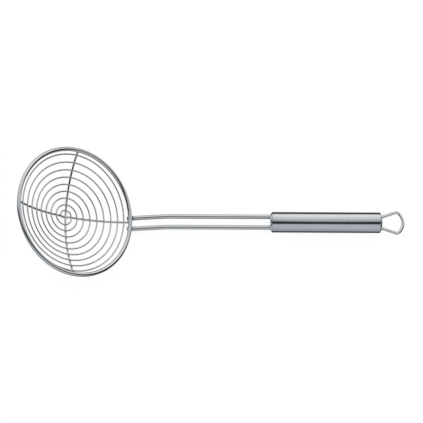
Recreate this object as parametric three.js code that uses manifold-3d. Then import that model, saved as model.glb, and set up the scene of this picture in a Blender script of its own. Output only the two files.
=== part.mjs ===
// A wire skimmer. A round rim holds a shallow dish, made of one spiral wire on two crossing ribs.
// Two parallel shank wires carry the rim and run into a tube handle, with a hanging loop at its end.
// Sizes are millimetres and degrees. +X runs along the handle, away from the dish, and +Z is up.
import * as THREE from 'three';
import { mergeVertices } from 'three/addons/utils/BufferGeometryUtils.js';
import Module from 'manifold-3d';

const wasm = await Module();
wasm.setup();

// Fit
const CLEARANCE = 0.3; // left between two pieces that touch

// Handle: a drawn tube, closed at each end by a cap that is flush with it
const HANDLE_DIAMETER = 20;
const HANDLE_LENGTH = 108.5; // over both caps
const HANDLE_WALL = 1;
const FRONT_EDGE = 2; // rounding of the front cap's rim
const REAR_EDGE = 2.4; // rounding of the rear cap's rim
const CAP_SPIGOT = 8; // depth of each cap inside the tube

// Shank: two straight wires, bent down once so that their ends reach the table under the rim
const SHANK_WIRE = 4.3; // diameter
const SHANK_EDGE = 0.85; // cap material outside each shank bore
const SHANK_INSERT = 22; // length behind the front cap's face
const SHANK_SLOPE = 11.5;
const SHANK_BEND_RADIUS = 60;
const SHANK_OVERHANG = 4.1; // from the middle of the rim wire to the wire's tip

// Rim: a round wire ring, tilted up away from the handle
const RIM_DIAMETER = 127.8; // outside
const RIM_WIRE = 4;
const RIM_TILT = 35.5;
const REACH = 136.95; // from the handle's front face to the middle of the rim wire

// Dish: part of a sphere through the middle of the rim wire
const DISH_DEPTH = 20.4; // from the rim's plane to the middle of the spiral wire
const RIB_WIRE = 2;
const RIB_BEND_RADIUS = 0.8;
const RIB_DIP_REACH = 6; // half of the stretch in which the long rib dips under the cross rib
const CROSS_RIB_OFFSET = 1.9; // off the dish's middle, towards the handle
const LONG_RIB_OFFSET = 0.5; // off the dish's middle, to the left

// Spiral: wound clockwise from above. It drifts off a true spiral as it grows, as a hand-wound wire does,
// and its last turns come back. Each drift and return is given as it would be at the rim.
const SPIRAL_WIRE = 1.4;
const SPIRAL_START = 3.4; // radius at which the true spiral starts
const SPIRAL_TURNS = 8.83;
const SPIRAL_END_SPREAD = 1.5; // how far its inner end stands out from the true spiral
const SPIRAL_END_TURN = 1.2; // turns in which that fades
const SPIRAL_DRIFT_X = 3.8; // off centre, towards the handle
const SPIRAL_DRIFT_Y = 1.5; // off centre, sideways
const SPIRAL_RETURN_X = -6.3; // return of the last turns, along the same two directions
const SPIRAL_RETURN_Y = 0.2;

// Hanging loop: a bent wire whose two legs run into the rear cap
const LOOP_WIRE = 3;
const LOOP_EDGE = 1.1; // cap material outside each leg bore
const LOOP_INSERT = 12; // length behind the rear cap's face
const LOOP_WIDTH = 22.4; // between the two corners
const LOOP_SPREAD = 19.5; // turn of each leg away from the handle's line
const LOOP_BOW = 34; // slant of the two halves of the outer end
const LOOP_MOUTH_RADIUS = 4;
const LOOP_CORNER_RADIUS = 3.7;
const LOOP_BOW_RADIUS = 13.3;

// Facets
const HANDLE_SIDES = 48;
const WIRE_SIDES = 12;
const BORE_SIDES = 24;
const RIB_SIDES = 8;
const SPIRAL_SIDES = 6;
const RIM_STEPS = 72;
const RIB_STEPS = 26;
const ARC_STEP = 12; // largest turn between two steps of a bend
const SPIRAL_STEP = 15; // largest turn between two steps of the spiral
const SPIRAL_SAG = 0.12; // how far a straight step may leave the round turn

// Sizes that follow from the ones above
const handleRadius = HANDLE_DIAMETER / 2;
const spigotRadius = handleRadius - HANDLE_WALL - CLEARANCE;
const shankRadius = SHANK_WIRE / 2;
const shankBore = shankRadius + CLEARANCE;
const shankOffset = spigotRadius - SHANK_EDGE - shankBore;
const loopRadius = LOOP_WIRE / 2;
const loopBore = loopRadius + CLEARANCE;
const legOffset = spigotRadius - LOOP_EDGE - loopBore;
const rimRadius = RIM_WIRE / 2;
const rimMiddle = RIM_DIAMETER / 2 - rimRadius;
const ribRadius = RIB_WIRE / 2;
const spiralRadius = SPIRAL_WIRE / 2;
const dishRadius = (rimMiddle ** 2 + DISH_DEPTH ** 2) / (2 * DISH_DEPTH);
const dishCentreHeight = dishRadius - DISH_DEPTH;
const dishSlopeAtRim = Math.asin(rimMiddle / dishRadius);
const ribSphere = dishRadius + ribRadius + spiralRadius + CLEARANCE;
const { degToRad } = THREE.MathUtils;

// A centre line through given points. Each step of a sweep along it lands on one of them.
class WirePath extends THREE.Curve {
  constructor(points) {
    super();
    this.points = points;
  }

  getUtoTmapping(u) {
    return u;
  }

  getPoint(t, target = new THREE.Vector3()) {
    const place = t * (this.points.length - 1);
    const before = Math.min(Math.floor(place), this.points.length - 2);
    return target.lerpVectors(this.points[before], this.points[before + 1], place - before);
  }
}

// A round wire with flat ends along the given points.
function wire(points, radius, sides) {
  const section = new THREE.Shape();
  for (let side = 0; side < sides; side += 1) {
    const angle = (2 * Math.PI * side) / sides;
    const x = radius * Math.cos(angle);
    const y = radius * Math.sin(angle);
    if (side === 0) section.moveTo(x, y);
    else section.lineTo(x, y);
  }
  return new THREE.ExtrudeGeometry(section, {
    steps: points.length - 1,
    bevelEnabled: false,
    extrudePath: new WirePath(points),
  });
}

// The corner between two straight stretches of wire, replaced by an arc of the given bend radius.
function bend(before, corner, after, radius) {
  const back = before.clone().sub(corner).normalize();
  const ahead = after.clone().sub(corner).normalize();
  const turn = Math.PI - back.angleTo(ahead);
  const middle = back.clone().add(ahead).normalize();
  const centre = corner.clone().addScaledVector(middle, radius / Math.cos(turn / 2));
  const first = corner.clone().addScaledVector(back, radius * Math.tan(turn / 2)).sub(centre);
  const last = corner.clone().addScaledVector(ahead, radius * Math.tan(turn / 2)).sub(centre);
  const steps = Math.max(2, Math.ceil(turn / degToRad(ARC_STEP)));
  const points = [];
  for (let step = 0; step <= steps; step += 1) {
    const share = (turn * step) / steps;
    const point = first.clone().multiplyScalar(Math.sin(turn - share) / Math.sin(turn));
    point.addScaledVector(last, Math.sin(share) / Math.sin(turn));
    points.push(point.add(centre));
  }
  return points;
}

// A body turned around the X axis, from [radius, x] points.
function turned(profile) {
  const points = profile.map(([radius, x]) => new THREE.Vector2(radius, x));
  return new THREE.LatheGeometry(points, HANDLE_SIDES).rotateZ(-Math.PI / 2);
}

// A closed geometry as a solid that can be cut.
function solid(geometry) {
  const bare = geometry.clone();
  bare.deleteAttribute('normal');
  bare.deleteAttribute('uv');
  const merged = mergeVertices(bare);
  const corners = merged.index.array;
  const triVerts = [];
  for (let i = 0; i < corners.length; i += 3) {
    const [a, b, c] = [corners[i], corners[i + 1], corners[i + 2]];
    if (a !== b && b !== c && c !== a) triVerts.push(a, b, c);
  }
  return new wasm.Manifold(new wasm.Mesh({
    numProp: 3,
    vertProperties: new Float32Array(merged.attributes.position.array),
    triVerts: new Uint32Array(triVerts),
  }));
}

function geometryOf(body) {
  const mesh = body.getMesh();
  const geometry = new THREE.BufferGeometry();
  geometry.setAttribute('position', new THREE.BufferAttribute(mesh.vertProperties, 3));
  geometry.setIndex(new THREE.BufferAttribute(mesh.triVerts, 1));
  return geometry;
}

function piece(name, geometry, color, roughness) {
  const material = new THREE.MeshStandardMaterial({ color, roughness, metalness: 1 });
  const mesh = new THREE.Mesh(geometry, material);
  mesh.name = name;
  return mesh;
}

const POLISHED = 0xc8cbcf;
const SATIN = 0xb4b8bd;

// Handle tube, from the front cap's shoulder to the rear cap's. Its front face is at x = 0.
function handleTube() {
  const inner = handleRadius - HANDLE_WALL;
  const front = FRONT_EDGE + CLEARANCE;
  const rear = HANDLE_LENGTH - REAR_EDGE - CLEARANCE;
  const profile = [
    [inner, front],
    [inner, rear],
    [handleRadius, rear],
    [handleRadius, front],
    [inner, front],
  ];
  return piece('handle_tube', turned(profile.reverse()), SATIN, 0.38);
}

// A cap with a rounded edge, a spigot inside the tube and two through bores beside the axis.
// Its face is at x = 0 and its spigot points along +X.
function cap(edge, bore, offset) {
  const back = edge + CAP_SPIGOT;
  const profile = [[0, 0]];
  const steps = Math.ceil(90 / ARC_STEP);
  for (let step = 0; step <= steps; step += 1) {
    const angle = (Math.PI / 2) * (step / steps);
    profile.push([handleRadius - edge + edge * Math.sin(angle), edge - edge * Math.cos(angle)]);
  }
  profile.push([spigotRadius, edge], [spigotRadius, back], [0, back]);
  let body = solid(turned(profile));
  const drillLength = 2 * back;
  for (const side of [-1, 1]) {
    const drill = new THREE.CylinderGeometry(bore, bore, drillLength, BORE_SIDES);
    drill.rotateZ(Math.PI / 2);
    drill.translate(back / 2, side * offset, 0);
    body = body.subtract(solid(drill));
  }
  return geometryOf(body);
}

function frontCap() {
  return piece('front_cap', cap(FRONT_EDGE, shankBore, shankOffset), SATIN, 0.34);
}

function rearCap() {
  const mesh = piece('rear_cap', cap(REAR_EDGE, loopBore, legOffset), SATIN, 0.34);
  mesh.rotation.z = Math.PI;
  mesh.position.x = HANDLE_LENGTH;
  return mesh;
}

// Hanging loop, in the handle's own level plane: two legs, two corners and a bowed outer end.
function hangingLoop() {
  const mouthX = HANDLE_LENGTH + LOOP_MOUTH_RADIUS * Math.tan(degToRad(LOOP_SPREAD) / 2);
  const cornerX = mouthX + (LOOP_WIDTH / 2 - legOffset) / Math.tan(degToRad(LOOP_SPREAD));
  const bowX = cornerX + (LOOP_WIDTH / 2) * Math.tan(degToRad(LOOP_BOW));
  const end = new THREE.Vector3(HANDLE_LENGTH - LOOP_INSERT, legOffset, 0);
  const mouth = new THREE.Vector3(mouthX, legOffset, 0);
  const corner = new THREE.Vector3(cornerX, LOOP_WIDTH / 2, 0);
  const bow = new THREE.Vector3(bowX, 0, 0);
  const across = (point) => new THREE.Vector3(point.x, -point.y, 0);
  const half = [
    end,
    ...bend(end, mouth, corner, LOOP_MOUTH_RADIUS),
    ...bend(mouth, corner, bow, LOOP_CORNER_RADIUS),
  ];
  const points = [
    ...half,
    ...bend(corner, bow, across(corner), LOOP_BOW_RADIUS),
    ...half.map(across).reverse(),
  ];
  return piece('hanging_loop', wire(points, loopRadius, WIRE_SIDES), POLISHED, 0.3);
}

// The shank's slanted stretch, in the plane y = 0. Its tip touches the table that the handle lies on.
const slope = degToRad(SHANK_SLOPE);
const alongShank = new THREE.Vector3(Math.cos(slope), 0, Math.sin(slope));
const aboveShank = new THREE.Vector3(-Math.sin(slope), 0, Math.cos(slope));
const rimSeat = shankRadius + rimRadius + CLEARANCE;
const shankTip = new THREE.Vector3(
  -REACH - SHANK_OVERHANG * alongShank.x - rimSeat * aboveShank.x,
  0,
  shankRadius * aboveShank.z - handleRadius,
);

function shankWire(name, y) {
  const kneeX = shankTip.x - shankTip.z / Math.tan(slope);
  const inside = new THREE.Vector3(SHANK_INSERT, y, 0);
  const knee = new THREE.Vector3(kneeX, y, 0);
  const tip = new THREE.Vector3(shankTip.x, y, shankTip.z);
  const points = [inside, ...bend(inside, knee, tip, SHANK_BEND_RADIUS), tip];
  return piece(name, wire(points, shankRadius, WIRE_SIDES), POLISHED, 0.22);
}

// The head: rim, ribs and spiral share a frame whose origin is the rim's centre, with the rim level
// in it and its near side on +X. The rim lies on both shank wires, just behind their tips.
function head() {
  const group = new THREE.Group();
  group.rotation.y = degToRad(RIM_TILT);
  const seat = shankTip.clone();
  seat.addScaledVector(alongShank, SHANK_OVERHANG);
  seat.addScaledVector(aboveShank, rimSeat);
  const toSeat = new THREE.Vector3(Math.sqrt(rimMiddle ** 2 - shankOffset ** 2), 0, 0);
  group.position.copy(seat).sub(toSeat.applyEuler(group.rotation));
  group.add(rimRing(), longRib(), crossRib(), spiralWire());
  return group;
}

function rimRing() {
  const geometry = new THREE.TorusGeometry(rimMiddle, rimRadius, WIRE_SIDES, RIM_STEPS);
  return piece('rim_ring', geometry, POLISHED, 0.18);
}

// A rib's centre line in its own upright plane. It follows the sphere below the spiral, dips at one
// place, and its ends turn up to the rim's underside, steeply enough to clear the spiral's last turn.
function ribLine(dip, dipPlace) {
  const wireSpace = (ribRadius + spiralRadius + CLEARANCE) / (rimRadius + spiralRadius + CLEARANCE);
  const endAngle = dishSlopeAtRim + Math.asin(wireSpace);
  const down = new THREE.Vector3(-Math.cos(endAngle), 0, -Math.sin(endAngle));
  const rimPoint = new THREE.Vector3(rimMiddle, 0, 0);
  const outward = rimPoint.clone().setZ(-dishCentreHeight).dot(down);
  const toSphere = Math.sqrt(outward ** 2 + ribSphere ** 2 - dishRadius ** 2) - outward;
  const end = rimPoint.clone().addScaledVector(down, rimRadius + CLEARANCE);
  const knee = rimPoint.clone().addScaledVector(down, toSphere);
  const far = knee.x - RIB_WIRE;
  const halfFrom = (start) => {
    const onSphere = (along) => {
      const fromDip = Math.min(Math.abs(along - start) / RIB_DIP_REACH, 1);
      const sunk = dip * Math.cos((Math.PI / 2) * fromDip) ** 2;
      const height = dishCentreHeight - Math.sqrt(ribSphere ** 2 - along ** 2) - sunk;
      return new THREE.Vector3(along, 0, height);
    };
    const points = [];
    for (let step = 0; step <= RIB_STEPS; step += 1) {
      const share = Math.sin((Math.PI / 2) * (step / RIB_STEPS));
      points.push(onSphere(start + (far - start) * share));
    }
    return [...points, ...bend(onSphere(far), knee, end, RIB_BEND_RADIUS), end];
  };
  const mirrored = halfFrom(-dipPlace).slice(1).map((point) => new THREE.Vector3(-point.x, 0, point.z));
  return [...mirrored.reverse(), ...halfFrom(dipPlace)];
}

function longRib() {
  const points = ribLine(RIB_WIRE + CLEARANCE, CROSS_RIB_OFFSET);
  const mesh = piece('long_rib', wire(points, ribRadius, RIB_SIDES), POLISHED, 0.25);
  mesh.position.y = LONG_RIB_OFFSET;
  return mesh;
}

function crossRib() {
  const mesh = piece('cross_rib', wire(ribLine(0, 0), ribRadius, RIB_SIDES), POLISHED, 0.25);
  mesh.rotation.z = Math.PI / 2;
  mesh.position.x = CROSS_RIB_OFFSET;
  return mesh;
}

// How far the winding lies outside a true spiral that has the given radius at an angle around the dish.
function drift(angle, radius) {
  const early = SPIRAL_DRIFT_X * Math.cos(angle) + SPIRAL_DRIFT_Y * Math.sin(angle);
  const late = SPIRAL_RETURN_X * Math.cos(angle) + SPIRAL_RETURN_Y * Math.sin(angle);
  const share = radius / rimMiddle;
  return early * share ** 2 + late * share ** 5;
}

// The spiral's wire lies on both ribs. Its pitch is the widest that keeps every turn off the rim.
function spiralWire() {
  const start = Math.PI;
  const angleAt = (turns) => start - 2 * Math.PI * turns;
  const rimSpace = rimRadius + spiralRadius + CLEARANCE;
  const spaceAngle = 2 * Math.asin(rimSpace / (2 * dishRadius));
  const widest = dishRadius * Math.sin(dishSlopeAtRim - spaceAngle);
  let pitch = Infinity;
  const tests = Math.ceil((360 * SPIRAL_TURNS) / SPIRAL_STEP);
  for (let test = 1; test <= tests; test += 1) {
    const turns = (SPIRAL_TURNS * test) / tests;
    pitch = Math.min(pitch, (widest - drift(angleAt(turns), widest) - SPIRAL_START) / turns);
  }
  const pointAt = (turns) => {
    const angle = angleAt(turns);
    const even = SPIRAL_START + pitch * turns;
    const spread = SPIRAL_END_SPREAD * Math.max(0, 1 - turns / SPIRAL_END_TURN) ** 2;
    const radius = even + drift(angle, even) + spread;
    const height = dishCentreHeight - Math.sqrt(dishRadius ** 2 - radius ** 2);
    return new THREE.Vector3(radius * Math.cos(angle), radius * Math.sin(angle), height);
  };
  const points = [];
  let turns = 0;
  while (turns < SPIRAL_TURNS) {
    const radius = SPIRAL_START + pitch * turns;
    points.push(pointAt(turns));
    const sagTurn = 2 * Math.acos(1 - SPIRAL_SAG / radius);
    turns += Math.min(sagTurn, degToRad(SPIRAL_STEP)) / (2 * Math.PI);
  }
  points.push(pointAt(SPIRAL_TURNS));
  console.log(`spiral_wire: least gap to itself ${leastGap(points).toFixed(2)} mm`);
  return piece('spiral_wire', wire(points, spiralRadius, SPIRAL_SIDES), POLISHED, 0.25);
}

// Least gap between neighbouring turns, over points that lie more than half a turn apart.
function leastGap(points) {
  const apart = Math.ceil(180 / SPIRAL_STEP) + 1;
  let least = Infinity;
  points.forEach((point, index) => {
    for (let other = index + apart; other < points.length; other += 1) {
      least = Math.min(least, point.distanceTo(points[other]));
    }
  });
  return least - SPIRAL_WIRE;
}

const skimmer = new THREE.Group();
skimmer.add(
  handleTube(),
  frontCap(),
  rearCap(),
  hangingLoop(),
  shankWire('left_shank_wire', shankOffset),
  shankWire('right_shank_wire', -shankOffset),
  head(),
);

// The origin is below the middle of the whole part, on the table that it lies on.
const box = new THREE.Box3().setFromObject(skimmer, true);
skimmer.position.set(-(box.min.x + box.max.x) / 2, -(box.min.y + box.max.y) / 2, -box.min.z);

export default skimmer;
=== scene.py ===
import math

import bpy
import numpy as np
from mathutils import Matrix, Vector
from mathutils.kdtree import KDTree


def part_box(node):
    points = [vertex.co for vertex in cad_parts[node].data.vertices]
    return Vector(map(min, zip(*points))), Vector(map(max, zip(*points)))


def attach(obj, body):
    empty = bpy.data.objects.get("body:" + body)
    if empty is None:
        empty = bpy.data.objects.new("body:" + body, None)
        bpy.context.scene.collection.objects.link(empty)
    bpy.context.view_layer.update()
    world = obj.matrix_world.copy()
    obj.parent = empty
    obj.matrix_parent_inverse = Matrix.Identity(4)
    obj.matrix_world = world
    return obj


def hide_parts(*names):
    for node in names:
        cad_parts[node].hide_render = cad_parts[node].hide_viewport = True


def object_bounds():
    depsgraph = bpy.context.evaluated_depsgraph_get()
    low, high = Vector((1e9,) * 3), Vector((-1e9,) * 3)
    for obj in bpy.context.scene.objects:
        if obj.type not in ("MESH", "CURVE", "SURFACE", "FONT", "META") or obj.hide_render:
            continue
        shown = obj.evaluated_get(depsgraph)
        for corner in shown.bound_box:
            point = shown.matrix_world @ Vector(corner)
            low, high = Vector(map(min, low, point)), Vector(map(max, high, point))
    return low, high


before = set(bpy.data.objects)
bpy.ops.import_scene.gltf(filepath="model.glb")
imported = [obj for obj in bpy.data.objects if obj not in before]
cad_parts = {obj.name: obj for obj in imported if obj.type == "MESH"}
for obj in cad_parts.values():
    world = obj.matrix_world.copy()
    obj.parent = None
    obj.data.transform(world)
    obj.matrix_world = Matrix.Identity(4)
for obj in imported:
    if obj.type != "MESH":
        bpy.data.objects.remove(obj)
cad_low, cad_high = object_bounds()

# Rim ring
# The hoop that holds the dish: one round stainless wire, bent into a ring, butt-welded beside the
# handle and polished. Its section is swept once around, and the weld is swelled out of the wire.
MM = 0.001
MERGE_DISTANCE = 0.001 * MM
RIM_WIRE = 4 * MM
RIM_TILT = math.radians(35.5)
RIM_SIDES = 40
RIM_STEPS = 288
BUTT_WELD_ANGLE = math.radians(13.0)
BUTT_WELD_SWELL = 0.1 * MM
BUTT_WELD_REACH = 1.6 * MM
STEEL = (0.62, 0.635, 0.655, 1)
DIE_LINES = 9.0
DIE_LINE_STRETCH = 25
DIE_MARK_DEPTH = 0.02 * MM
POLISH_PATCHES = 90.0
POLISH_WORN = 0.5
# Weld scale's dark brown, which also paints crevice shade at the welds and the shank tips.
SCALE_AND_CREVICE_SHADE = (0.06, 0.055, 0.05, 1)
SCALE_AND_SHADE_SPOTS = 2200
SCALE_AND_SHADE_UNEVEN = 0.25
WELD_SCALE_DULLNESS = 0.3

rim_low, rim_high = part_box("rim_ring")
rim_centre = (rim_low + rim_high) / 2
rim_middle = (rim_high.y - rim_low.y - RIM_WIRE) / 2
head_frame = Matrix.Translation(rim_centre) @ Matrix.Rotation(RIM_TILT, 4, "Y")


def select_points(piece, wanted):
    """Selects the points of a piece whose place passes a test, and leaves it in edit mode."""
    bpy.ops.object.mode_set(mode="EDIT")
    bpy.ops.mesh.select_mode(type="VERT")
    bpy.ops.mesh.select_all(action="DESELECT")
    bpy.ops.object.mode_set(mode="OBJECT")
    for point in piece.data.vertices:
        point.select = wanted(point.co)
    bpy.ops.object.mode_set(mode="EDIT")


def lay_grain(wire, line, closed=False):
    """Stores where each point of a wire's mesh lies around its section and along its centre line.
    The drawing marks of the die follow this, so they run with the wire through every bend."""
    tree = KDTree(len(line))
    for index, place in enumerate(line):
        tree.insert(place, index)
    tree.balance()
    before, after = (line[-1:], line[:1]) if closed else (line[:1], line[-1:])
    tangents = [(a - b).normalized() for a, b in zip(line[1:] + after, before + line[:-1])]
    side = tangents[0].orthogonal().normalized()
    sides, lengths, length = [], [], 0.0
    for index, tangent in enumerate(tangents):
        side = (side - tangent * side.dot(tangent)).normalized()
        length += (line[index] - line[index - 1]).length if index else 0.0
        sides.append(side)
        lengths.append(length)
    grain = np.zeros((len(wire.data.vertices), 3), np.float32)
    for index, point in enumerate(wire.data.vertices):
        place, near, _ = tree.find(point.co)
        out = point.co - place
        along = out.dot(tangents[near])
        across = (out - tangents[near] * along).normalized()
        other = tangents[near].cross(sides[near])
        grain[index] = (across.dot(sides[near]), across.dot(other), lengths[near] + along)
    marks = wire.data.attributes.new("grain", "FLOAT_VECTOR", "POINT")
    marks.data.foreach_set("vector", grain.ravel())


def settle(piece, slot, *nodes):
    """Puts a finished piece on the rigid body, in the place of its frame nodes. Its slot is not used."""
    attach(piece, "root")
    if nodes:
        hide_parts(*nodes)


bpy.ops.object.select_all(action="DESELECT")
bpy.ops.mesh.primitive_circle_add(
    vertices=RIM_SIDES,
    radius=RIM_WIRE / 2,
    location=(rim_middle, 0, 0),
    rotation=(math.pi / 2, 0, 0),
)
rim = bpy.context.object
rim.name = "rim_hoop"
bpy.ops.object.mode_set(mode="EDIT")
bpy.ops.mesh.select_all(action="SELECT")
bpy.ops.mesh.spin(steps=RIM_STEPS, angle=2 * math.pi, center=(0, 0, 0), axis=(0, 0, 1))
bpy.ops.mesh.select_all(action="SELECT")
bpy.ops.mesh.remove_doubles(threshold=MERGE_DISTANCE)
bpy.ops.mesh.normals_make_consistent(inside=False)
bpy.ops.object.mode_set(mode="OBJECT")
bpy.ops.object.transform_apply(location=True, rotation=True, scale=True)
half_step = math.pi / RIM_STEPS
select_points(rim, lambda co: abs(math.atan2(co.y, co.x) - BUTT_WELD_ANGLE) < half_step)
bpy.ops.transform.shrink_fatten(
    value=BUTT_WELD_SWELL,
    use_proportional_edit=True,
    proportional_edit_falloff="SMOOTH",
    proportional_size=BUTT_WELD_REACH,
)
bpy.ops.object.mode_set(mode="OBJECT")
rim.rotation_euler = (0, RIM_TILT, 0)
rim.location = rim_centre
bpy.ops.object.transform_apply(location=True, rotation=True, scale=True)
bpy.ops.object.shade_smooth()


def on_ring(angle):
    """A point of the rim wire's centre line. Angle 0 is the side by the handle."""
    return head_frame @ Vector((rim_middle * math.cos(angle), rim_middle * math.sin(angle), 0))


lay_grain(rim, [on_ring(2 * math.pi * step / RIM_STEPS) for step in range(RIM_STEPS)], closed=True)


def feed(tree, node, inputs):
    """Sets the inputs of a node: numbers and colours directly, and sockets by a link."""
    for name, value in inputs.items():
        if isinstance(value, bpy.types.NodeSocket):
            tree.links.new(value, node.inputs[name])
        else:
            node.inputs[name].default_value = value


def add_node(tree, kind, inputs=(), **settings):
    """Adds a shader node with its settings and inputs."""
    node = tree.nodes.new("ShaderNode" + kind)
    for name, value in settings.items():
        setattr(node, name, value)
    feed(tree, node, dict(inputs))
    return node


def new_group(name, inputs, outputs):
    """A shader node group with float or colour sockets. Gives its tree, its input and its output node."""
    tree = bpy.data.node_groups.new(name, "ShaderNodeTree")
    for way, sockets in (("INPUT", inputs), ("OUTPUT", outputs)):
        for label, value in sockets.items():
            kind = "NodeSocketColor" if isinstance(value, tuple) else "NodeSocketFloat"
            socket = tree.interface.new_socket(label, in_out=way, socket_type=kind)
            socket.default_value = value
    return tree, tree.nodes.new("NodeGroupInput"), tree.nodes.new("NodeGroupOutput")


# The marks of the drawing die: fine lines along the wire, and slow patches where the polish is uneven.
die_sizes = {"Lines": DIE_LINES, "Patches": POLISH_PATCHES}
drawn_marks, marks_in, marks_out = new_group("drawn_marks", die_sizes, {"Line": 0.5, "Patch": 0.5})
grain = add_node(drawn_marks, "Attribute", attribute_name="grain")
stretched = add_node(
    drawn_marks,
    "Mapping",
    {"Vector": grain.outputs["Vector"], "Scale": (1, 1, DIE_LINE_STRETCH)},
)
die_lines = add_node(
    drawn_marks,
    "TexNoise",
    {
        "Vector": stretched.outputs["Vector"],
        "Scale": marks_in.outputs["Lines"],
        "Detail": 4,
        "Roughness": 0.6,
    },
)
wire_place = add_node(drawn_marks, "TexCoord")
polish_patches = add_node(
    drawn_marks,
    "TexNoise",
    {"Vector": wire_place.outputs["Object"], "Scale": marks_in.outputs["Patches"], "Detail": 2},
)
feed(drawn_marks, marks_out, {"Line": die_lines.outputs["Fac"], "Patch": polish_patches.outputs["Fac"]})

# The trace of a weld: a dark brown that is partly scale where it was hot and partly painted crevice shade,
# and a duller polish there.
weld_scale_and_shade, trace_in, trace_out = new_group(
    "weld_scale_and_shade", {"Steel": STEEL}, {"Colour": STEEL, "Dullness": 0.0}
)
heat_and_shade_mask = add_node(weld_scale_and_shade, "Attribute", attribute_name="weld_heat_and_shade")
scale_and_shade_place = add_node(weld_scale_and_shade, "TexCoord")
scale_and_shade_noise = add_node(
    weld_scale_and_shade,
    "TexNoise",
    {"Vector": scale_and_shade_place.outputs["Object"], "Scale": SCALE_AND_SHADE_SPOTS, "Detail": 3},
)
uneven = add_node(
    weld_scale_and_shade,
    "MapRange",
    {
        "Value": scale_and_shade_noise.outputs["Fac"],
        "To Min": 1 - SCALE_AND_SHADE_UNEVEN,
        "To Max": 1 + SCALE_AND_SHADE_UNEVEN,
    },
)
heat_and_shade_share = add_node(
    weld_scale_and_shade,
    "Math",
    {0: heat_and_shade_mask.outputs["Fac"], 1: uneven.outputs["Result"]},
    operation="MULTIPLY",
    use_clamp=True,
)
scaled_and_shaded = add_node(
    weld_scale_and_shade,
    "Mix",
    {"Factor": heat_and_shade_share.outputs["Value"], 6: trace_in.outputs["Steel"], 7: SCALE_AND_CREVICE_SHADE},
    data_type="RGBA",
)
dulled = add_node(
    weld_scale_and_shade, "Math", {0: heat_and_shade_share.outputs["Value"], 1: WELD_SCALE_DULLNESS}, operation="MULTIPLY"
)
feed(weld_scale_and_shade, trace_out, {"Colour": scaled_and_shaded.outputs[2], "Dullness": dulled.outputs["Value"]})


def bare_steel(name):
    """A new material of plain metal. Gives the material, its node tree and its shader."""
    material = bpy.data.materials.new(name)
    material.use_nodes = True
    shader = material.node_tree.nodes["Principled BSDF"]
    shader.inputs["Metallic"].default_value = 1
    return material, material.node_tree, shader


def wire_steel(name, colour, dull, bright, mark_strength):
    """Stainless wire, with drawing marks, an uneven polish and the traces of its welds: scale and painted
    crevice shade. Its roughness runs from bright to dull."""
    material, tree, shader = bare_steel(name)
    marks = add_node(tree, "Group", die_sizes, node_tree=drawn_marks)
    trace = add_node(tree, "Group", {"Steel": colour}, node_tree=weld_scale_and_shade)
    worn = add_node(
        tree, "Math", {0: marks.outputs["Line"], 1: marks.outputs["Patch"]}, operation="MULTIPLY"
    )
    polish = add_node(
        tree,
        "MapRange",
        {"Value": worn.outputs["Value"], "From Max": POLISH_WORN, "To Min": bright, "To Max": dull},
    )
    rough = add_node(
        tree, "Math", {0: trace.outputs["Dullness"], 1: polish.outputs["Result"]}, operation="ADD"
    )
    relief = add_node(
        tree,
        "Bump",
        {"Height": marks.outputs["Line"], "Strength": mark_strength, "Distance": DIE_MARK_DEPTH},
    )
    surface = {
        "Base Color": trace.outputs["Colour"],
        "Roughness": rough.outputs["Value"],
        "Normal": relief.outputs["Normal"],
    }
    feed(tree, shader, surface)
    return material


polished_wire = wire_steel("polished_wire", STEEL, dull=0.14, bright=0.06, mark_strength=0.15)
rim.data.materials.append(polished_wire)
settle(rim, "polished_wire", "rim_ring")

# Ribs
# Two thinner wires that cross under the dish and carry the spiral. Each is bent to the dish's curve,
# turned up at both ends and welded to the rim's underside. The long one dips under the cross one.
RIB_WIRE = 2 * MM
RIB_BEND_RADIUS = 0.8 * MM
RIB_DIP_REACH = 6 * MM
RIB_BURR = 0.15 * MM
RIB_STEPS = 60
RIB_SIDES = 16
CROSS_RIB_OFFSET = 1.9 * MM
LONG_RIB_OFFSET = 0.5 * MM
DISH_DEPTH = 20.4 * MM
DISH_STEEL = (0.62, 0.63, 0.645, 1)
SPIRAL_WIRE = 1.4 * MM
WELD_GAP = 0.3 * MM
BEND_STEPS = 10
BURR_STEPS = 3
WIRE_SMOOTH = math.radians(50)

dish_radius = (rim_middle**2 + DISH_DEPTH**2) / (2 * DISH_DEPTH)
dish_centre_height = dish_radius - DISH_DEPTH
rim_angle = math.asin(rim_middle / dish_radius)
rib_sphere = dish_radius + (RIB_WIRE + SPIRAL_WIRE) / 2 + WELD_GAP
rib_end_angle = rim_angle + math.asin(
    (RIB_WIRE + SPIRAL_WIRE + 2 * WELD_GAP) / (RIM_WIRE + SPIRAL_WIRE + 2 * WELD_GAP)
)
rib_end_way = Vector((-math.cos(rib_end_angle), 0, -math.sin(rib_end_angle)))


def round_corner(before, corner, after, radius, steps=BEND_STEPS):
    """The arc that replaces a corner of a wire's centre line where it is bent."""
    back = (before - corner).normalized()
    ahead = (after - corner).normalized()
    turn = math.pi - back.angle(ahead)
    centre = corner + (back + ahead).normalized() * (radius / math.cos(turn / 2))
    first = corner + back * (radius * math.tan(turn / 2)) - centre
    last = corner + ahead * (radius * math.tan(turn / 2)) - centre
    arc = []
    for step in range(steps + 1):
        share = turn * step / steps
        arc.append(centre + (first * math.sin(turn - share) + last * math.sin(share)) / math.sin(turn))
    return arc


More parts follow.
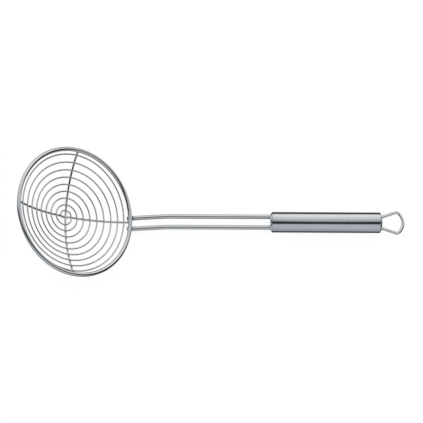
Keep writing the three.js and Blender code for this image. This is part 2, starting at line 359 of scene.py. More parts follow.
def bent_wire(name, line, diameter, sides, burr):
    """A round wire along a centre line: a path with a round section, made a mesh. Its two cut ends
    are closed and their edges rounded over by the given burr."""
    bpy.ops.object.select_all(action="DESELECT")
    bpy.ops.curve.primitive_nurbs_path_add()
    wire = bpy.context.object
    wire.name = name
    path = wire.data.splines[0]
    path.type = "POLY"
    path.points.add(len(line) - len(path.points))
    for point, place in zip(path.points, line):
        point.co = (*place, 1)
    wire.data.bevel_depth = diameter / 2
    wire.data.bevel_resolution = sides // 2 - 2
    bpy.ops.object.convert(target="MESH")
    bpy.ops.object.mode_set(mode="EDIT")
    bpy.ops.mesh.select_all(action="SELECT")
    bpy.ops.mesh.remove_doubles(threshold=MERGE_DISTANCE)
    bpy.ops.mesh.fill_holes(sides=0)
    bpy.ops.mesh.normals_make_consistent(inside=False)
    bpy.ops.mesh.select_mode(type="FACE")
    bpy.ops.mesh.select_all(action="DESELECT")
    bpy.ops.object.mode_set(mode="OBJECT")
    for face in wire.data.polygons:
        face.select = len(face.vertices) == sides
    bpy.ops.object.mode_set(mode="EDIT")
    bpy.ops.mesh.region_to_loop()
    bpy.ops.mesh.bevel(offset=burr, segments=BURR_STEPS, affect="EDGES")
    bpy.ops.object.mode_set(mode="OBJECT")
    bpy.ops.object.shade_smooth_by_angle(angle=WIRE_SMOOTH)
    lay_grain(wire, line)
    return wire


def half_rib(dip, start):
    """Half of a rib's centre line in its own upright plane, from where it dips to the rim."""
    seat = Vector((rim_middle, 0, 0))
    outward = Vector((rim_middle, 0, -dish_centre_height)).dot(rib_end_way)
    to_sphere = math.sqrt(outward**2 + rib_sphere**2 - dish_radius**2) - outward
    end = seat + rib_end_way * (RIM_WIRE / 2 + WELD_GAP)
    knee = seat + rib_end_way * to_sphere

    def on_sphere(along):
        sunk = dip * math.cos(math.pi / 2 * min(abs(along - start) / RIB_DIP_REACH, 1)) ** 2
        return Vector((along, 0, dish_centre_height - math.sqrt(rib_sphere**2 - along**2) - sunk))

    far = knee.x - RIB_WIRE
    shares = [math.sin(math.pi / 2 * step / RIB_STEPS) for step in range(RIB_STEPS)]
    half = [on_sphere(start + (far - start) * share) for share in shares]
    return half + round_corner(on_sphere(far), knee, end, RIB_BEND_RADIUS) + [end]


def make_rib(name, dip, dip_place, offset, turn):
    """A whole rib, turned about the dish's axis and set off its middle."""
    other = [Vector((-point.x, 0, point.z)) for point in half_rib(dip, -dip_place)[:0:-1]]
    place = head_frame @ Matrix.Translation(offset) @ Matrix.Rotation(turn, 4, "Z")
    line = [place @ point for point in other + half_rib(dip, dip_place)]
    return bent_wire(name, line, RIB_WIRE, RIB_SIDES, RIB_BURR)


dish_wire = wire_steel("dish_wire", DISH_STEEL, dull=0.2, bright=0.1, mark_strength=0.25)
long_rib_place = Vector((0, LONG_RIB_OFFSET, 0))
cross_rib_place = Vector((CROSS_RIB_OFFSET, 0, 0))
long_rib = make_rib("long_rib_wire", RIB_WIRE + WELD_GAP, CROSS_RIB_OFFSET, long_rib_place, 0)
cross_rib = make_rib("cross_rib_wire", 0, 0, cross_rib_place, math.pi / 2)
for rib, node in ((long_rib, "long_rib"), (cross_rib, "cross_rib")):
    rib.data.materials.append(dish_wire)
    settle(rib, "dish_wire", node)

# Spiral
# The dish itself: one thin wire wound outwards from the middle, spot-welded to the ribs at every
# crossing and to the rim at its outer end. It drifts off a true spiral, as a hand-wound wire does.
SPIRAL_START = 3.4 * MM
SPIRAL_TURNS = 8.83
SPIRAL_END_SPREAD = 1.5 * MM
SPIRAL_END_TURN = 1.2
SPIRAL_DRIFT_X = 3.8 * MM
SPIRAL_DRIFT_Y = 1.5 * MM
SPIRAL_DRIFT_POWER = 2
SPIRAL_RETURN_X = -6.3 * MM
SPIRAL_RETURN_Y = 0.2 * MM
SPIRAL_RETURN_POWER = 5
SPIRAL_STEP = math.radians(3)
SPIRAL_SIDES = 12
SPIRAL_BURR = 0.1 * MM

rim_space = (RIM_WIRE + SPIRAL_WIRE) / 2 + WELD_GAP
widest = dish_radius * math.sin(rim_angle - 2 * math.asin(rim_space / (2 * dish_radius)))


def spiral_angle(turns):
    """Angle around the dish's axis. The winding starts on the far side and runs clockwise from above."""
    return math.pi - 2 * math.pi * turns


def drift(angle, radius):
    """How far the winding lies outside a true spiral. Its last turns come back."""
    early = SPIRAL_DRIFT_X * math.cos(angle) + SPIRAL_DRIFT_Y * math.sin(angle)
    late = SPIRAL_RETURN_X * math.cos(angle) + SPIRAL_RETURN_Y * math.sin(angle)
    share = radius / rim_middle
    return early * share**SPIRAL_DRIFT_POWER + late * share**SPIRAL_RETURN_POWER


spiral_steps = math.ceil(2 * math.pi * SPIRAL_TURNS / SPIRAL_STEP)
spiral_shares = [SPIRAL_TURNS * step / spiral_steps for step in range(spiral_steps + 1)]
pitch = min((widest - drift(spiral_angle(t), widest) - SPIRAL_START) / t for t in spiral_shares[1:])


def winding_radius(turns):
    """Distance of the spiral's centre line from the dish's axis. Its inner end is spread a little."""
    even = SPIRAL_START + pitch * turns
    spread = SPIRAL_END_SPREAD * max(0.0, 1 - turns / SPIRAL_END_TURN) ** 2
    return even + drift(spiral_angle(turns), even) + spread


def on_dish(turns, sink=0.0):
    """A point of the spiral's centre line, or one below it by sink, square to the dish."""
    angle = spiral_angle(turns)
    radius = winding_radius(turns)
    depth = math.sqrt(dish_radius**2 - radius**2)
    out = Vector((radius * math.cos(angle), radius * math.sin(angle), -depth))
    return head_frame @ (out * (1 + sink / dish_radius) + Vector((0, 0, dish_centre_height)))


spiral_line = [on_dish(t) for t in spiral_shares]
spiral = bent_wire("spiral_winding", spiral_line, SPIRAL_WIRE, SPIRAL_SIDES, SPIRAL_BURR)
spiral.data.materials.append(dish_wire)
settle(spiral, "dish_wire", "spiral_wire")

# Shank wires
# Two thick straight wires from the handle to the rim, bent down once so that their tips reach under
# it. They are cut, deburred and polished, and pressed and welded into the handle's front cap.
SHANK_WIRE = 4.3 * MM
SHANK_SLOPE = math.radians(11.5)
SHANK_BEND_RADIUS = 60 * MM
SHANK_BEND_STEPS = 24
SHANK_SLOPE_STEPS = 40
SHANK_SIDES = 32
SHANK_BURR = 0.8 * MM

shank_radius = SHANK_WIRE / 2
above_shank = Vector((-math.sin(SHANK_SLOPE), 0, math.cos(SHANK_SLOPE)))
shank_tips, shanks = [], []
for node in ("left_shank_wire", "right_shank_wire"):
    low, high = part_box(node)
    level = high.z - shank_radius
    middle = (low.y + high.y) / 2
    tip_x = low.x + shank_radius * math.sin(SHANK_SLOPE)
    tip_z = low.z + shank_radius * math.cos(SHANK_SLOPE)
    tip = Vector((tip_x, middle, tip_z))
    knee = Vector((tip.x + (level - tip.z) / math.tan(SHANK_SLOPE), middle, level))
    inside = Vector((high.x, middle, level))
    line = [inside] + round_corner(inside, knee, tip, SHANK_BEND_RADIUS, SHANK_BEND_STEPS)
    slope_start = line[-1]
    line += [slope_start.lerp(tip, step / SHANK_SLOPE_STEPS) for step in range(1, SHANK_SLOPE_STEPS + 1)]
    shank = bent_wire(node.replace("_wire", "_rod"), line, SHANK_WIRE, SHANK_SIDES, SHANK_BURR)
    shank.data.materials.append(polished_wire)
    settle(shank, "polished_wire", node)
    shank_tips.append(tip)
    shanks.append(shank)

# Handle tube
# A drawn stainless tube, satin-brushed in rings around it, welded to a cap at each end. It is an open
# cylinder with a wall, and its two edges are broken where they meet the caps.
TUBE_SIDES = 160
TUBE_WALL = 1 * MM
TUBE_EDGE_STEPS = 2
TUBE_EDGE_ANGLE = math.radians(50)
SEAM = 0.03 * MM
HANDLE_SMOOTH = math.radians(30)
SATIN = (0.60, 0.62, 0.65, 1)
BRUSH_LINES = 9000.0
BRUSH_WANDER = 160
BRUSH_PATCHES = 70
BRUSH_CONTRAST = (0.3, 0.7)
BRUSH_TONES = (0.93, 1.05)
BRUSH_UNEVEN = 0.15
BRUSH_STRENGTH = 0.3
BRUSH_DEPTH = 0.01 * MM
BRUSH_QUARTER_TURN = 0.25

tube_low, tube_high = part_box("handle_tube")
tube_axis = (tube_low.z + tube_high.z) / 2
tube_radius = (tube_high.z - tube_low.z) / 2
front_shoulder = tube_low.x - WELD_GAP
rear_shoulder = tube_high.x + WELD_GAP


def round_bar(start, end, radius, sides, offset=0.0, ends="NGON"):
    """Adds a cylinder that lies along the handle's axis, or beside it by an offset."""
    bpy.ops.object.select_all(action="DESELECT")
    bpy.ops.mesh.primitive_cylinder_add(
        vertices=sides,
        radius=radius,
        depth=abs(end - start),
        end_fill_type=ends,
        location=((start + end) / 2, offset, tube_axis),
        rotation=(0, math.pi / 2, 0),
    )
    bpy.ops.object.transform_apply(location=True, rotation=True, scale=True)
    return bpy.context.object


def break_edges(piece, width, steps, angle):
    """Takes the sharpness off the edges of a piece that turn by more than an angle."""
    edges = piece.modifiers.new("edges", "BEVEL")
    edges.width = width
    edges.segments = steps
    edges.angle_limit = angle
    bpy.ops.object.modifier_apply(modifier="edges")


tube = round_bar(front_shoulder + SEAM, rear_shoulder - SEAM, tube_radius, TUBE_SIDES, ends="NOTHING")
tube.name = "handle_sleeve"
wall = tube.modifiers.new("wall", "SOLIDIFY")
wall.thickness = TUBE_WALL
wall.offset = -1
bpy.ops.object.modifier_apply(modifier="wall")
break_edges(tube, 2 * SEAM, TUBE_EDGE_STEPS, TUBE_EDGE_ANGLE)
bpy.ops.object.shade_smooth_by_angle(angle=HANDLE_SMOOTH)

# Brushing in rings: lines around the handle's axis, each a little different along its way round.
brush_sizes = {"Density": BRUSH_LINES}
ring_brushing, brush_in, brush_out = new_group("ring_brushing", brush_sizes, {"Line": 0.5, "Patch": 0.5})
handle_place = add_node(ring_brushing, "TexCoord")
centred = add_node(
    ring_brushing,
    "Mapping",
    {"Vector": handle_place.outputs["Object"], "Location": (0, 0, -tube_axis)},
)
parts = add_node(ring_brushing, "SeparateXYZ", {"Vector": centred.outputs["Vector"]})
flat = add_node(ring_brushing, "CombineXYZ", {"Y": parts.outputs["Y"], "Z": parts.outputs["Z"]})
from_axis = add_node(ring_brushing, "VectorMath", {0: flat.outputs["Vector"]}, operation="LENGTH")
across = add_node(
    ring_brushing, "Math", {0: parts.outputs["X"], 1: from_axis.outputs["Value"]}, operation="SUBTRACT"
)
line_place = add_node(
    ring_brushing, "Math", {0: across.outputs["Value"], 1: brush_in.outputs["Density"]}, operation="MULTIPLY"
)
round_about = add_node(
    ring_brushing, "VectorMath", {0: flat.outputs["Vector"], "Scale": BRUSH_WANDER}, operation="SCALE"
)
apart = add_node(ring_brushing, "SeparateXYZ", {"Vector": round_about.outputs["Vector"]})
brush_place = add_node(
    ring_brushing,
    "CombineXYZ",
    {"X": line_place.outputs["Value"], "Y": apart.outputs["Y"], "Z": apart.outputs["Z"]},
)
brush_lines = add_node(
    ring_brushing,
    "TexNoise",
    {"Vector": brush_place.outputs["Vector"], "Scale": 1, "Detail": 3, "Roughness": 0.65},
)
hand_patches = add_node(
    ring_brushing, "TexNoise", {"Vector": centred.outputs["Vector"], "Scale": BRUSH_PATCHES, "Detail": 2}
)
feed(ring_brushing, brush_out, {"Line": brush_lines.outputs["Fac"], "Patch": hand_patches.outputs["Fac"]})


def satin_steel(name, colour, roughness, spread):
    """Stainless steel brushed in rings: reflections spread along the handle and stay sharp around it."""
    material, tree, shader = bare_steel(name)
    brushing = add_node(tree, "Group", brush_sizes, node_tree=ring_brushing)
    tone = add_node(
        tree,
        "MapRange",
        {
            "Value": brushing.outputs["Line"],
            "From Min": BRUSH_CONTRAST[0],
            "From Max": BRUSH_CONTRAST[1],
            "To Min": BRUSH_TONES[0],
            "To Max": BRUSH_TONES[1],
        },
    )
    shade = add_node(
        tree, "VectorMath", {0: colour[:3], "Scale": tone.outputs["Result"]}, operation="SCALE"
    )
    rough = add_node(
        tree,
        "MapRange",
        {
            "Value": brushing.outputs["Patch"],
            "To Min": roughness * (1 - BRUSH_UNEVEN),
            "To Max": roughness * (1 + BRUSH_UNEVEN),
        },
    )
    relief = add_node(
        tree,
        "Bump",
        {"Height": brushing.outputs["Line"], "Strength": BRUSH_STRENGTH, "Distance": BRUSH_DEPTH},
    )
    around = add_node(tree, "Tangent", direction_type="RADIAL", axis="X")
    surface = {
        "Base Color": shade.outputs["Vector"],
        "Roughness": rough.outputs["Result"],
        "Normal": relief.outputs["Normal"],
        "Tangent": around.outputs["Tangent"],
        "Anisotropic": spread,
        "Anisotropic Rotation": BRUSH_QUARTER_TURN,
    }
    feed(tree, shader, surface)
    return material


satin_handle = satin_steel("satin_handle", SATIN, roughness=0.22, spread=0.8)
tube.data.materials.append(satin_handle)
settle(tube, "satin_handle", "handle_tube")

# End caps
# A turned stainless plug in each end of the tube, flush with it, with a long chamfer and a flat face.
# Two bores beside the axis take the shank wires in front and the loop's legs behind.
CAP_SPIGOT = 8 * MM
CAP_STEP = 1.3 * MM
CAP_BREAK = 0.1 * MM
CAP_EDGE_STEPS = 3
CAP_EDGE_ANGLE = math.radians(25)
CHAMFER_LENGTH = 1.8 * MM
CHAMFER_DEPTH = 2.65 * MM
BORE_FIT = 0.04 * MM
BORE_SIDES = 64
LOOP_WIRE = 3 * MM
LOOP_EDGE = 1.1 * MM

front_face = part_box("front_cap")[0].x
rear_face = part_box("rear_cap")[1].x
spigot_radius = tube_radius - CAP_STEP
leg_offset = spigot_radius - LOOP_EDGE - LOOP_WIRE / 2 - WELD_GAP
shank_offset = shank_tips[0].y


def end_cap(name, face, shoulder, bore, offset):
    """A cap from its outer face to its shoulder on the tube, with its spigot behind that and two bores
    at an offset from the axis."""
    inward = 1 if shoulder > face else -1
    chamfer_start = face + inward * CHAMFER_LENGTH
    flat_share = 1 - CHAMFER_DEPTH / tube_radius
    cap = round_bar(chamfer_start, shoulder, tube_radius, TUBE_SIDES)
    cap.name = name
    select_points(cap, lambda co: abs(co.x - shoulder) < SEAM)
    bpy.ops.mesh.inset(thickness=CAP_STEP)
    bpy.ops.mesh.extrude_region_move(TRANSFORM_OT_translate={"value": (inward * CAP_SPIGOT, 0, 0)})
    bpy.ops.object.mode_set(mode="OBJECT")
    select_points(cap, lambda co: abs(co.x - chamfer_start) < SEAM)
    bpy.ops.mesh.extrude_region_move(TRANSFORM_OT_translate={"value": (face - chamfer_start, 0, 0)})
    bpy.ops.transform.resize(value=(1, flat_share, flat_share))
    bpy.ops.object.mode_set(mode="OBJECT")
    break_edges(cap, CAP_BREAK, CAP_EDGE_STEPS, CAP_EDGE_ANGLE)
    reach = 2 * CAP_SPIGOT
    for side in (-1, 1):
        drill = round_bar(face - reach, face + reach, bore / 2 + BORE_FIT, BORE_SIDES, side * offset)
        hole = cap.modifiers.new("hole", "BOOLEAN")
        hole.operation = "DIFFERENCE"
        hole.solver = "EXACT"
        hole.object = drill
        bpy.ops.object.select_all(action="DESELECT")
        bpy.context.view_layer.objects.active = cap
        cap.select_set(True)
        bpy.ops.object.modifier_apply(modifier="hole")
        bpy.data.objects.remove(drill)
    bpy.ops.object.shade_smooth_by_angle(angle=HANDLE_SMOOTH)
    return cap


turned_cap = satin_steel("turned_cap", SATIN, roughness=0.14, spread=0.3)
front_cap = end_cap("front_plug", front_face, front_shoulder, SHANK_WIRE, shank_offset)
rear_cap = end_cap("rear_plug", rear_face, rear_shoulder, LOOP_WIRE, leg_offset)
for cap, node in ((front_cap, "front_cap"), (rear_cap, "rear_cap")):
    cap.data.materials.append(turned_cap)
    settle(cap, "satin_handle", node)

# Hanging loop
# A bent wire eye at the handle's end, for a rail hook: two legs that spread, two corners and a bowed
# outer end. Its legs are pressed into the rear cap, and it keeps the wire's semi-bright finish.
LOOP_INSERT = 12 * MM
LOOP_WIDTH = 22.4 * MM
LOOP_SPREAD = math.radians(19.5)
LOOP_BOW = math.radians(34)
LOOP_MOUTH_RADIUS = 4 * MM
LOOP_CORNER_RADIUS = 3.7 * MM
LOOP_CORNER_STEPS = 20
LOOP_BOW_RADIUS = 13.3 * MM
LOOP_BOW_STEPS = 24
LOOP_SIDES = 28
LOOP_BURR = 0.3 * MM
LOOP_STEEL = (0.79, 0.795, 0.8, 1)

mouth_x = rear_face + LOOP_MOUTH_RADIUS * math.tan(LOOP_SPREAD / 2)
corner_x = mouth_x + (LOOP_WIDTH / 2 - leg_offset) / math.tan(LOOP_SPREAD)
bow_x = corner_x + LOOP_WIDTH / 2 * math.tan(LOOP_BOW)
leg_end = Vector((rear_face - LOOP_INSERT, leg_offset, tube_axis))
mouth = Vector((mouth_x, leg_offset, tube_axis))
corner = Vector((corner_x, LOOP_WIDTH / 2, tube_axis))
other_corner = Vector((corner_x, -LOOP_WIDTH / 2, tube_axis))
bow = Vector((bow_x, 0, tube_axis))
half_loop = [leg_end]
half_loop += round_corner(leg_end, mouth, corner, LOOP_MOUTH_RADIUS)
half_loop += round_corner(mouth, corner, bow, LOOP_CORNER_RADIUS, LOOP_CORNER_STEPS)
bow_arc = round_corner(corner, bow, other_corner, LOOP_BOW_RADIUS, LOOP_BOW_STEPS)
other_half = [Vector((point.x, -point.y, point.z)) for point in reversed(half_loop)]
loop = bent_wire("hanging_eye", half_loop + bow_arc + other_half, LOOP_WIRE, LOOP_SIDES, LOOP_BURR)
loop_wire = wire_steel("loop_wire", LOOP_STEEL, dull=0.46, bright=0.32, mark_strength=0.25)
loop.data.materials.append(loop_wire)
settle(loop, "loop_wire", "hanging_loop")

# Welds
# Small saddles of melted steel that join the wires where they touch: the spiral to the ribs and the
# rim, the ribs to each other and to the rim, and the rim to the shank wires. Welding left scale there,
# and painted crevice shade darkens them and the wire beside them.
SADDLE_WAIST = 0.28
SADDLE_STEPS = 6
SADDLE_SIDES = 20
SPOT_RADIUS = 0.62 * MM
SPOT_HEIGHT = 1.1 * MM
HUB_RADIUS = 0.9 * MM
HUB_HEIGHT = 1.3 * MM
END_HEIGHT = 1.2 * MM
SEAT_RADIUS = 1.15 * MM
SEAT_HEIGHT = 1.1 * MM
BEAD_RADIUS = 1.5 * MM
BEAD_HEIGHT = 1.8 * MM
BEAD_STRETCH = 1.9
BEAD_TOP = 0.62
HEAT_AND_SHADE_FALL = 4
SPOT_HEAT_AND_SHADE = 0.5
SPOT_HEAT_AND_SHADE_REACH = 1.0 * MM
RIM_HEAT_AND_SHADE = 0.3
RIM_HEAT_AND_SHADE_REACH = 1.3 * MM
BUTT_HEAT_AND_SHADE = 0.9
BUTT_HEAT_AND_SHADE_REACH = 1.1 * MM
SHANK_HEAT_AND_SHADE = 0.12
SHANK_HEAT_AND_SHADE_REACH = 2.2 * MM
# The two shank tips and the two beads are darkened unequally, as painted crevice shade.
TIP_HEAT_AND_SHADE_LEVELS = (1.0, 0.1)
TIP_HEAT_AND_SHADE_REACH = 2.5 * MM
BEAD_HEAT_AND_SHADE_LEVELS = (1.0, 0.4)
BEAD_HEAT_AND_SHADE_REACH = 5 * MM


def saddles(seats, radius, height, stretch=1.0, top=1.0):
    """Like welds between two wires. A short waisted stub is drawn up ring by ring, stretched along the
    lower wire and narrowed to a share at its top, and copied to each seat, a place with an axis."""
    bpy.ops.object.select_all(action="DESELECT")
    bpy.ops.mesh.primitive_circle_add(
        vertices=SADDLE_SIDES,
        radius=radius,
        fill_type="NGON",
        location=(0, 0, -height / 2),
    )
    stub = bpy.context.object
    bpy.ops.object.mode_set(mode="EDIT")
    bpy.ops.mesh.select_all(action="SELECT")
    width = 1.0
    for step in range(1, SADDLE_STEPS + 1):
        bpy.ops.mesh.extrude_region_move(TRANSFORM_OT_translate={"value": (0, 0, height / SADDLE_STEPS)})
        share = step / SADDLE_STEPS
        wanted = 1 + (top - 1) * share - SADDLE_WAIST * top * 4 * share * (1 - share)
        bpy.ops.transform.resize(value=(wanted / width, wanted / width, 1))
        width = wanted
    bpy.ops.mesh.select_all(action="SELECT")
    bpy.ops.transform.resize(value=(1, stretch, 1))
    bpy.ops.mesh.normals_make_consistent(inside=False)
    bpy.ops.object.mode_set(mode="OBJECT")
    welds = []
    for place, axis in seats:
        bpy.ops.object.select_all(action="DESELECT")
        stub.select_set(True)
        bpy.context.view_layer.objects.active = stub
        bpy.ops.object.duplicate()
        weld = bpy.context.object
        weld.rotation_euler = axis.to_track_quat("Z", "Y").to_euler()
        weld.location = place
        bpy.ops.object.transform_apply(location=True, rotation=True, scale=True)
        welds.append(weld)
    bpy.data.objects.remove(stub)
    return welds


def join_welds(name, welds):
    """Joins like welds into one object."""
    bpy.ops.object.select_all(action="DESELECT")
    for weld in welds:
        weld.select_set(True)
    bpy.context.view_layer.objects.active = welds[0]
    bpy.ops.object.join()
    welds[0].name = name
    bpy.ops.object.shade_smooth_by_angle(angle=WIRE_SMOOTH)
    return welds[0]


# The spiral crosses a rib near each quarter turn, a little before or after it, since the ribs lie off
# the dish's middle.
dish_centre = head_frame @ Vector((0, 0, dish_centre_height))
crossings = []
for quarter in range(int(SPIRAL_TURNS * 4) + 1):
    offset = CROSS_RIB_OFFSET if quarter % 2 else LONG_RIB_OFFSET
    later = 1 if quarter % 4 < 2 else -1
    turn = later * math.asin(offset / winding_radius(quarter / 4))
    crossings.append(quarter / 4 + turn / (2 * math.pi))
spot_places = [on_dish(t, SPIRAL_WIRE / 2 + WELD_GAP / 2) for t in crossings]
hub_height = dish_centre_height - rib_sphere - RIB_WIRE / 2 - WELD_GAP / 2
hub = head_frame @ Vector((CROSS_RIB_OFFSET, LONG_RIB_OFFSET, hub_height))
spiral_end = on_dish(SPIRAL_TURNS)
rim_by_end = on_ring(spiral_angle(SPIRAL_TURNS))
to_rim = (rim_by_end - spiral_end).normalized()
end_weld = spiral_end + to_rim * (SPIRAL_WIRE / 2 + WELD_GAP / 2)
rib_seats, rib_axes = [], []
for quarter in range(4):
    offset = cross_rib_place if quarter % 2 else long_rib_place
    turned = head_frame @ Matrix.Translation(offset) @ Matrix.Rotation(quarter * math.pi / 2, 4, "Z")
    rib_seats.append(turned @ (Vector((rim_middle, 0, 0)) + rib_end_way * (RIM_WIRE / 2 + WELD_GAP / 2)))
    rib_axes.append(turned.to_3x3() @ rib_end_way)
spots = saddles([(place, dish_centre - place) for place in spot_places], SPOT_RADIUS, SPOT_HEIGHT)
spots += saddles([(hub, dish_centre - hub)], HUB_RADIUS, HUB_HEIGHT)
spots += saddles([(end_weld, to_rim)], SPOT_RADIUS, END_HEIGHT)
spots += saddles(zip(rib_seats, rib_axes), SEAT_RADIUS, SEAT_HEIGHT)
dish_welds = join_welds("dish_welds", spots)

shank_seats = []
for tip in shank_tips:
    ring_point = on_ring(math.asin(tip.y / rim_middle))
    shank_seats.append(ring_point - above_shank * (RIM_WIRE / 2 + WELD_GAP / 2))
bead_seats = [(seat, above_shank) for seat in shank_seats]
beads = saddles(bead_seats, BEAD_RADIUS, BEAD_HEIGHT, stretch=BEAD_STRETCH, top=BEAD_TOP)
shank_welds = join_welds("shank_welds", beads)
shank_welds.data.materials.append(polished_wire)
dish_welds.data.materials.append(dish_wire)
settle(shank_welds, "polished_wire")
settle(dish_welds, "dish_wire")


def store_heat_and_shade(piece, heat_and_shade_spots):
    """Stores how dark each point of a piece is made by weld scale and painted crevice shade, from spots that
    have a place, a reach and a strength."""
    points = np.array([point.co for point in piece.data.vertices])
    heat_and_shade_level = np.zeros(len(points))
    for place, reach, most in heat_and_shade_spots:
        distance = np.linalg.norm(points - np.array(place), axis=1)
        heat_and_shade_level = np.maximum(heat_and_shade_level, most * np.exp(-((distance / reach) ** HEAT_AND_SHADE_FALL)))
    layer = piece.data.attributes.new("weld_heat_and_shade", "FLOAT", "POINT")
    layer.data.foreach_set("value", heat_and_shade_level.astype(np.float32))


# The rim's inner side at the butt weld gets a dark spot: weld scale and painted crevice shade.
butt_weld = on_ring(BUTT_WELD_ANGLE)
inner_side = butt_weld + (rim_centre - butt_weld).normalized() * (RIM_WIRE / 2)
dish_heat_and_shade = [(place, SPOT_HEAT_AND_SHADE_REACH, SPOT_HEAT_AND_SHADE) for place in spot_places + [hub, end_weld] + rib_seats]
for piece in (spiral, long_rib, cross_rib, dish_welds):
    store_heat_and_shade(piece, dish_heat_and_shade)
rim_heat_and_shade = [(place, RIM_HEAT_AND_SHADE_REACH, RIM_HEAT_AND_SHADE) for place in rib_seats + [end_weld]]
store_heat_and_shade(rim, rim_heat_and_shade + [(inner_side, BUTT_HEAT_AND_SHADE_REACH, BUTT_HEAT_AND_SHADE)])
for shank, seat, tip, most in zip(shanks, shank_seats, shank_tips, TIP_HEAT_AND_SHADE_LEVELS):
    store_heat_and_shade(shank, [(seat, SHANK_HEAT_AND_SHADE_REACH, SHANK_HEAT_AND_SHADE), (tip, TIP_HEAT_AND_SHADE_REACH, most)])
store_heat_and_shade(shank_welds, [(seat, BEAD_HEAT_AND_SHADE_REACH, most) for seat, most in zip(shank_seats, BEAD_HEAT_AND_SHADE_LEVELS)])

# Camera
# It stands high on the spoon's right side and looks down at it, as the photograph does. A long lens
# keeps the handle's sides parallel.
PHOTO_WIDTH = 423
FOCAL_PIXELS = 1698.2
SENSOR_WIDTH = 36
CAMERA_ELEVATION = math.radians(73.0)
CAMERA_ROLL = math.radians(0.28)
CAMERA_DISTANCE = 1.6552
CAMERA_AIM = Vector((-0.002929, 0.00975, 0.01298))

towards_camera = Vector((0, -math.cos(CAMERA_ELEVATION), math.sin(CAMERA_ELEVATION)))
bpy.ops.object.camera_add(location=CAMERA_AIM + towards_camera * CAMERA_DISTANCE)
camera = bpy.context.object
camera.rotation_mode = "ZYX"
camera.rotation_euler = (math.pi / 2 - CAMERA_ELEVATION, 0, CAMERA_ROLL)
camera.data.sensor_width = SENSOR_WIDTH
camera.data.lens = SENSOR_WIDTH * FOCAL_PIXELS / PHOTO_WIDTH
bpy.context.scene.camera = camera

# Studio
# A plain white floor and a white tent. Metal sees the tent's walls: a bright panel beyond the spoon, a
# dimmer one before it, a pale wall on the left, a dark corner on the right, dark low edges, and the dark
# gap between the panels where the camera stands.
FLOOR_SIZE = 12
FLOOR_WHITE = 0.8
FLOOR_GLOW = 0.92
SHADOW_SHARE = 0.16
LAMP_PLACE = (0.1, 0.5, 1.6)
LAMP_TILT = math.radians(-18)
LAMP_SIZE = 1.4
LAMP_POWER = 6
FILL_LIGHT = 0.55
FAR_PANEL_SPAN = (0.03, 0.65)
FAR_PANEL_CURVE = 0.7
FAR_PANEL_GAIN = 0.92
FAR_PANEL_BASE = 0.27
NEAR_PANEL_SPAN = (-0.9, -0.45)
NEAR_PANEL_LIGHT = (0.46, 0.71)
PANEL_MEETING = (-0.08, 0.0)
LEFT_SIDE_SPAN = (-0.75, -0.1)
LEFT_SIDE_LIGHT = (0.55, 1.0)
LEFT_WALL_SPAN = (-0.84, -0.74)
LEFT_WALL_LIGHT = 0.92
GAP_CENTRE = -0.058
GAP_HALF = 0.11
GAP_ARCH = 0.6
GAP_BEND = -1.4
GAP_FLARE = 0.32
GAP_FLARE_LEFT = 0.8
GAP_LEFT_LIMIT = 0.3
GAP_LEFT_SPAN = (-0.56, -0.34)
GAP_LEFT_SHARE = (0.3, 1.0)
GAP_RIGHT_SPAN = (0.62, 0.8)
GAP_RIGHT_SHARE = (1.0, 0.4)
GAP_SOFT = 0.035
GAP_LIGHT = 0.05
CORNER_PLACE = (0.69, -0.2)
CORNER_SIZE = (0.21, 0.34)
CORNER_SPAN = (0.5, 1.6)
CORNER_LIGHT = 0.03
EDGE_SPAN = (0.79, 0.87)
EDGE_WIDTH = 0.8
EDGE_RAISE = 0.03
EDGE_LIGHT = 0.06
COOL = (0.94, 0.985, 1.015, 1)
WARM = (1.02, 1.0, 0.975, 1)
WHITE = (1, 1, 1, 1)
WARM_SPAN = (0.0, 0.6)
LEAST_LENGTH = 0.0001

bpy.context.scene.view_settings.view_transform = "Standard"
bpy.ops.object.select_all(action="DESELECT")
bpy.ops.mesh.primitive_plane_add(size=FLOOR_SIZE, location=(0, 0, cad_low.z))
floor = bpy.context.object
floor.name = "floor"
floor.visible_glossy = False
white_floor = bpy.data.materials.new("white_floor")
white_floor.use_nodes = True
floor_tree = white_floor.node_tree
floor_tree.nodes.clear()
paper = add_node(floor_tree, "BsdfDiffuse", {"Color": (FLOOR_WHITE, FLOOR_WHITE, FLOOR_WHITE, 1)})
pale = FLOOR_WHITE * SHADOW_SHARE
shadowed = add_node(floor_tree, "BsdfDiffuse", {"Color": (pale, pale, pale, 1)})
glow = add_node(floor_tree, "Emission", {"Strength": FLOOR_GLOW})
lit_paper = add_node(floor_tree, "AddShader", {0: shadowed.outputs["BSDF"], 1: glow.outputs["Emission"]})
seen = add_node(floor_tree, "LightPath")
floor_mix = add_node(
    floor_tree,
    "MixShader",
    {0: seen.outputs["Is Camera Ray"], 1: paper.outputs["BSDF"], 2: lit_paper.outputs["Shader"]},
)
add_node(floor_tree, "OutputMaterial", {"Surface": floor_mix.outputs["Shader"]})
floor.data.materials.append(white_floor)

bpy.ops.object.light_add(type="AREA", location=LAMP_PLACE, rotation=(LAMP_TILT, 0, 0))
lamp = bpy.context.object
lamp.name = "soft_box"
lamp.data.shape = "SQUARE"
lamp.data.size = LAMP_SIZE
lamp.data.energy = LAMP_POWER
lamp.visible_glossy = False

studio = bpy.data.worlds.new("studio")
studio.use_nodes = True
bpy.context.scene.world = studio
tent = studio.node_tree
tent.nodes.clear()


def calc(operation, *values):
    """One step of a sum in the tent's nodes."""
    return add_node(tent, "Math", dict(enumerate(values)), operation=operation).outputs["Value"]


def ease(value, start, end, low=0.0, high=1.0, interpolation="SMOOTHSTEP"):
    """A step of a value from low to high, soft at both ends or straight."""
    sockets = {"Value": value, "From Min": start, "From Max": end, "To Min": low, "To Max": high}
    return add_node(tent, "MapRange", sockets, interpolation_type=interpolation).outputs["Result"]


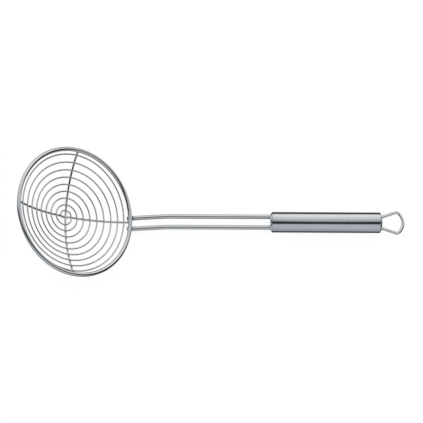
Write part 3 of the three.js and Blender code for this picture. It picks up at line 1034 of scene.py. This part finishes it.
def blend(share, low, high):
    """A value between two others."""
    return calc("MULTIPLY_ADD", share, calc("SUBTRACT", high, low), low)


def part_along(direction):
    """How much of the look direction runs along another direction."""
    look = add_node(tent, "TexCoord").outputs["Generated"]
    return add_node(tent, "VectorMath", {0: look, 1: direction}, operation="DOT_PRODUCT").outputs["Value"]


# The walls are laid out on a mirror ball in the spoon's place, by right and up on the ball's front. A
# direction shows where the ball faces half-way between it and the camera.
nearness = part_along(towards_camera)
half_way = calc("SQRT", calc("MAXIMUM", calc("MULTIPLY_ADD", nearness, 2.0, 2.0), LEAST_LENGTH))
right = calc("DIVIDE", part_along((1, 0, 0)), half_way)
up = calc("DIVIDE", part_along(towards_camera.cross((1, 0, 0))), half_way)

rise = calc("POWER", ease(up, *FAR_PANEL_SPAN, interpolation="LINEAR"), FAR_PANEL_CURVE)
far_panel = calc("MULTIPLY_ADD", rise, FAR_PANEL_GAIN, FAR_PANEL_BASE)
near_panel = ease(up, *NEAR_PANEL_SPAN, *NEAR_PANEL_LIGHT)
panels = blend(ease(up, *PANEL_MEETING), near_panel, far_panel)
dimmed = calc("MULTIPLY", panels, ease(right, *LEFT_SIDE_SPAN, *LEFT_SIDE_LIGHT))
left_wall = ease(right, *LEFT_WALL_SPAN, 1.0, 0.0)
walls = blend(left_wall, dimmed, LEFT_WALL_LIGHT)

to_left = calc("MAXIMUM", calc("MULTIPLY", right, -1.0), 0.0)
left_part = calc("POWER", calc("MINIMUM", to_left, GAP_LEFT_LIMIT), 2.0)
right_part = calc("POWER", calc("MAXIMUM", right, 0.0), 2.0)
bend = calc("MULTIPLY_ADD", calc("MULTIPLY", right_part, right_part), GAP_BEND, GAP_CENTRE)
arch = calc("MULTIPLY_ADD", calc("ADD", right_part, left_part), GAP_ARCH, bend)
off_gap = calc("ABSOLUTE", calc("SUBTRACT", up, arch))
left_flare = calc("MULTIPLY_ADD", left_part, GAP_FLARE_LEFT, GAP_HALF)
flared = calc("MULTIPLY_ADD", right_part, GAP_FLARE, left_flare)
left_end = ease(right, *GAP_LEFT_SPAN, *GAP_LEFT_SHARE)
right_end = ease(right, *GAP_RIGHT_SPAN, *GAP_RIGHT_SHARE)
gap_width = calc("MULTIPLY", flared, calc("MULTIPLY", left_end, right_end))
beyond_gap = calc("DIVIDE", calc("SUBTRACT", off_gap, gap_width), GAP_SOFT)
gap = ease(beyond_gap, -1.0, 1.0, GAP_LIGHT, 1.0)

corner_right = calc("DIVIDE", calc("SUBTRACT", right, CORNER_PLACE[0]), CORNER_SIZE[0])
corner_up = calc("DIVIDE", calc("SUBTRACT", up, CORNER_PLACE[1]), CORNER_SIZE[1])
from_corner = calc("MULTIPLY_ADD", corner_right, corner_right, calc("MULTIPLY", corner_up, corner_up))
dark_corner = ease(from_corner, *CORNER_SPAN, CORNER_LIGHT, 1.0)
wide = calc("MULTIPLY", right, EDGE_WIDTH)
high = calc("ADD", up, EDGE_RAISE)
from_middle = calc("SQRT", calc("MULTIPLY_ADD", wide, wide, calc("MULTIPLY", high, high)))
low_edge = ease(from_middle, *EDGE_SPAN, 1.0, EDGE_LIGHT)
openings = calc("MULTIPLY", gap, dark_corner)
tent_light = calc("MULTIPLY", walls, calc("MULTIPLY", openings, low_edge))

# Mirrored rays see the tent, the camera sees plain white, and all else gets an even fill.
ray = add_node(tent, "LightPath")
mirrored = calc("MAXIMUM", ray.outputs["Is Glossy Ray"], ray.outputs["Is Transmission Ray"])
brightness = blend(mirrored, blend(ray.outputs["Is Camera Ray"], FILL_LIGHT, 1.0), tent_light)
warmth = ease(up, *WARM_SPAN)
tint = add_node(tent, "Mix", {"Factor": warmth, 6: COOL, 7: WARM}, data_type="RGBA").outputs[2]
colour = add_node(tent, "Mix", {"Factor": mirrored, 6: WHITE, 7: tint}, data_type="RGBA").outputs[2]
glowing = add_node(tent, "Background", {"Color": colour, "Strength": brightness})
add_node(tent, "OutputWorld", {"Surface": glowing.outputs["Background"]})
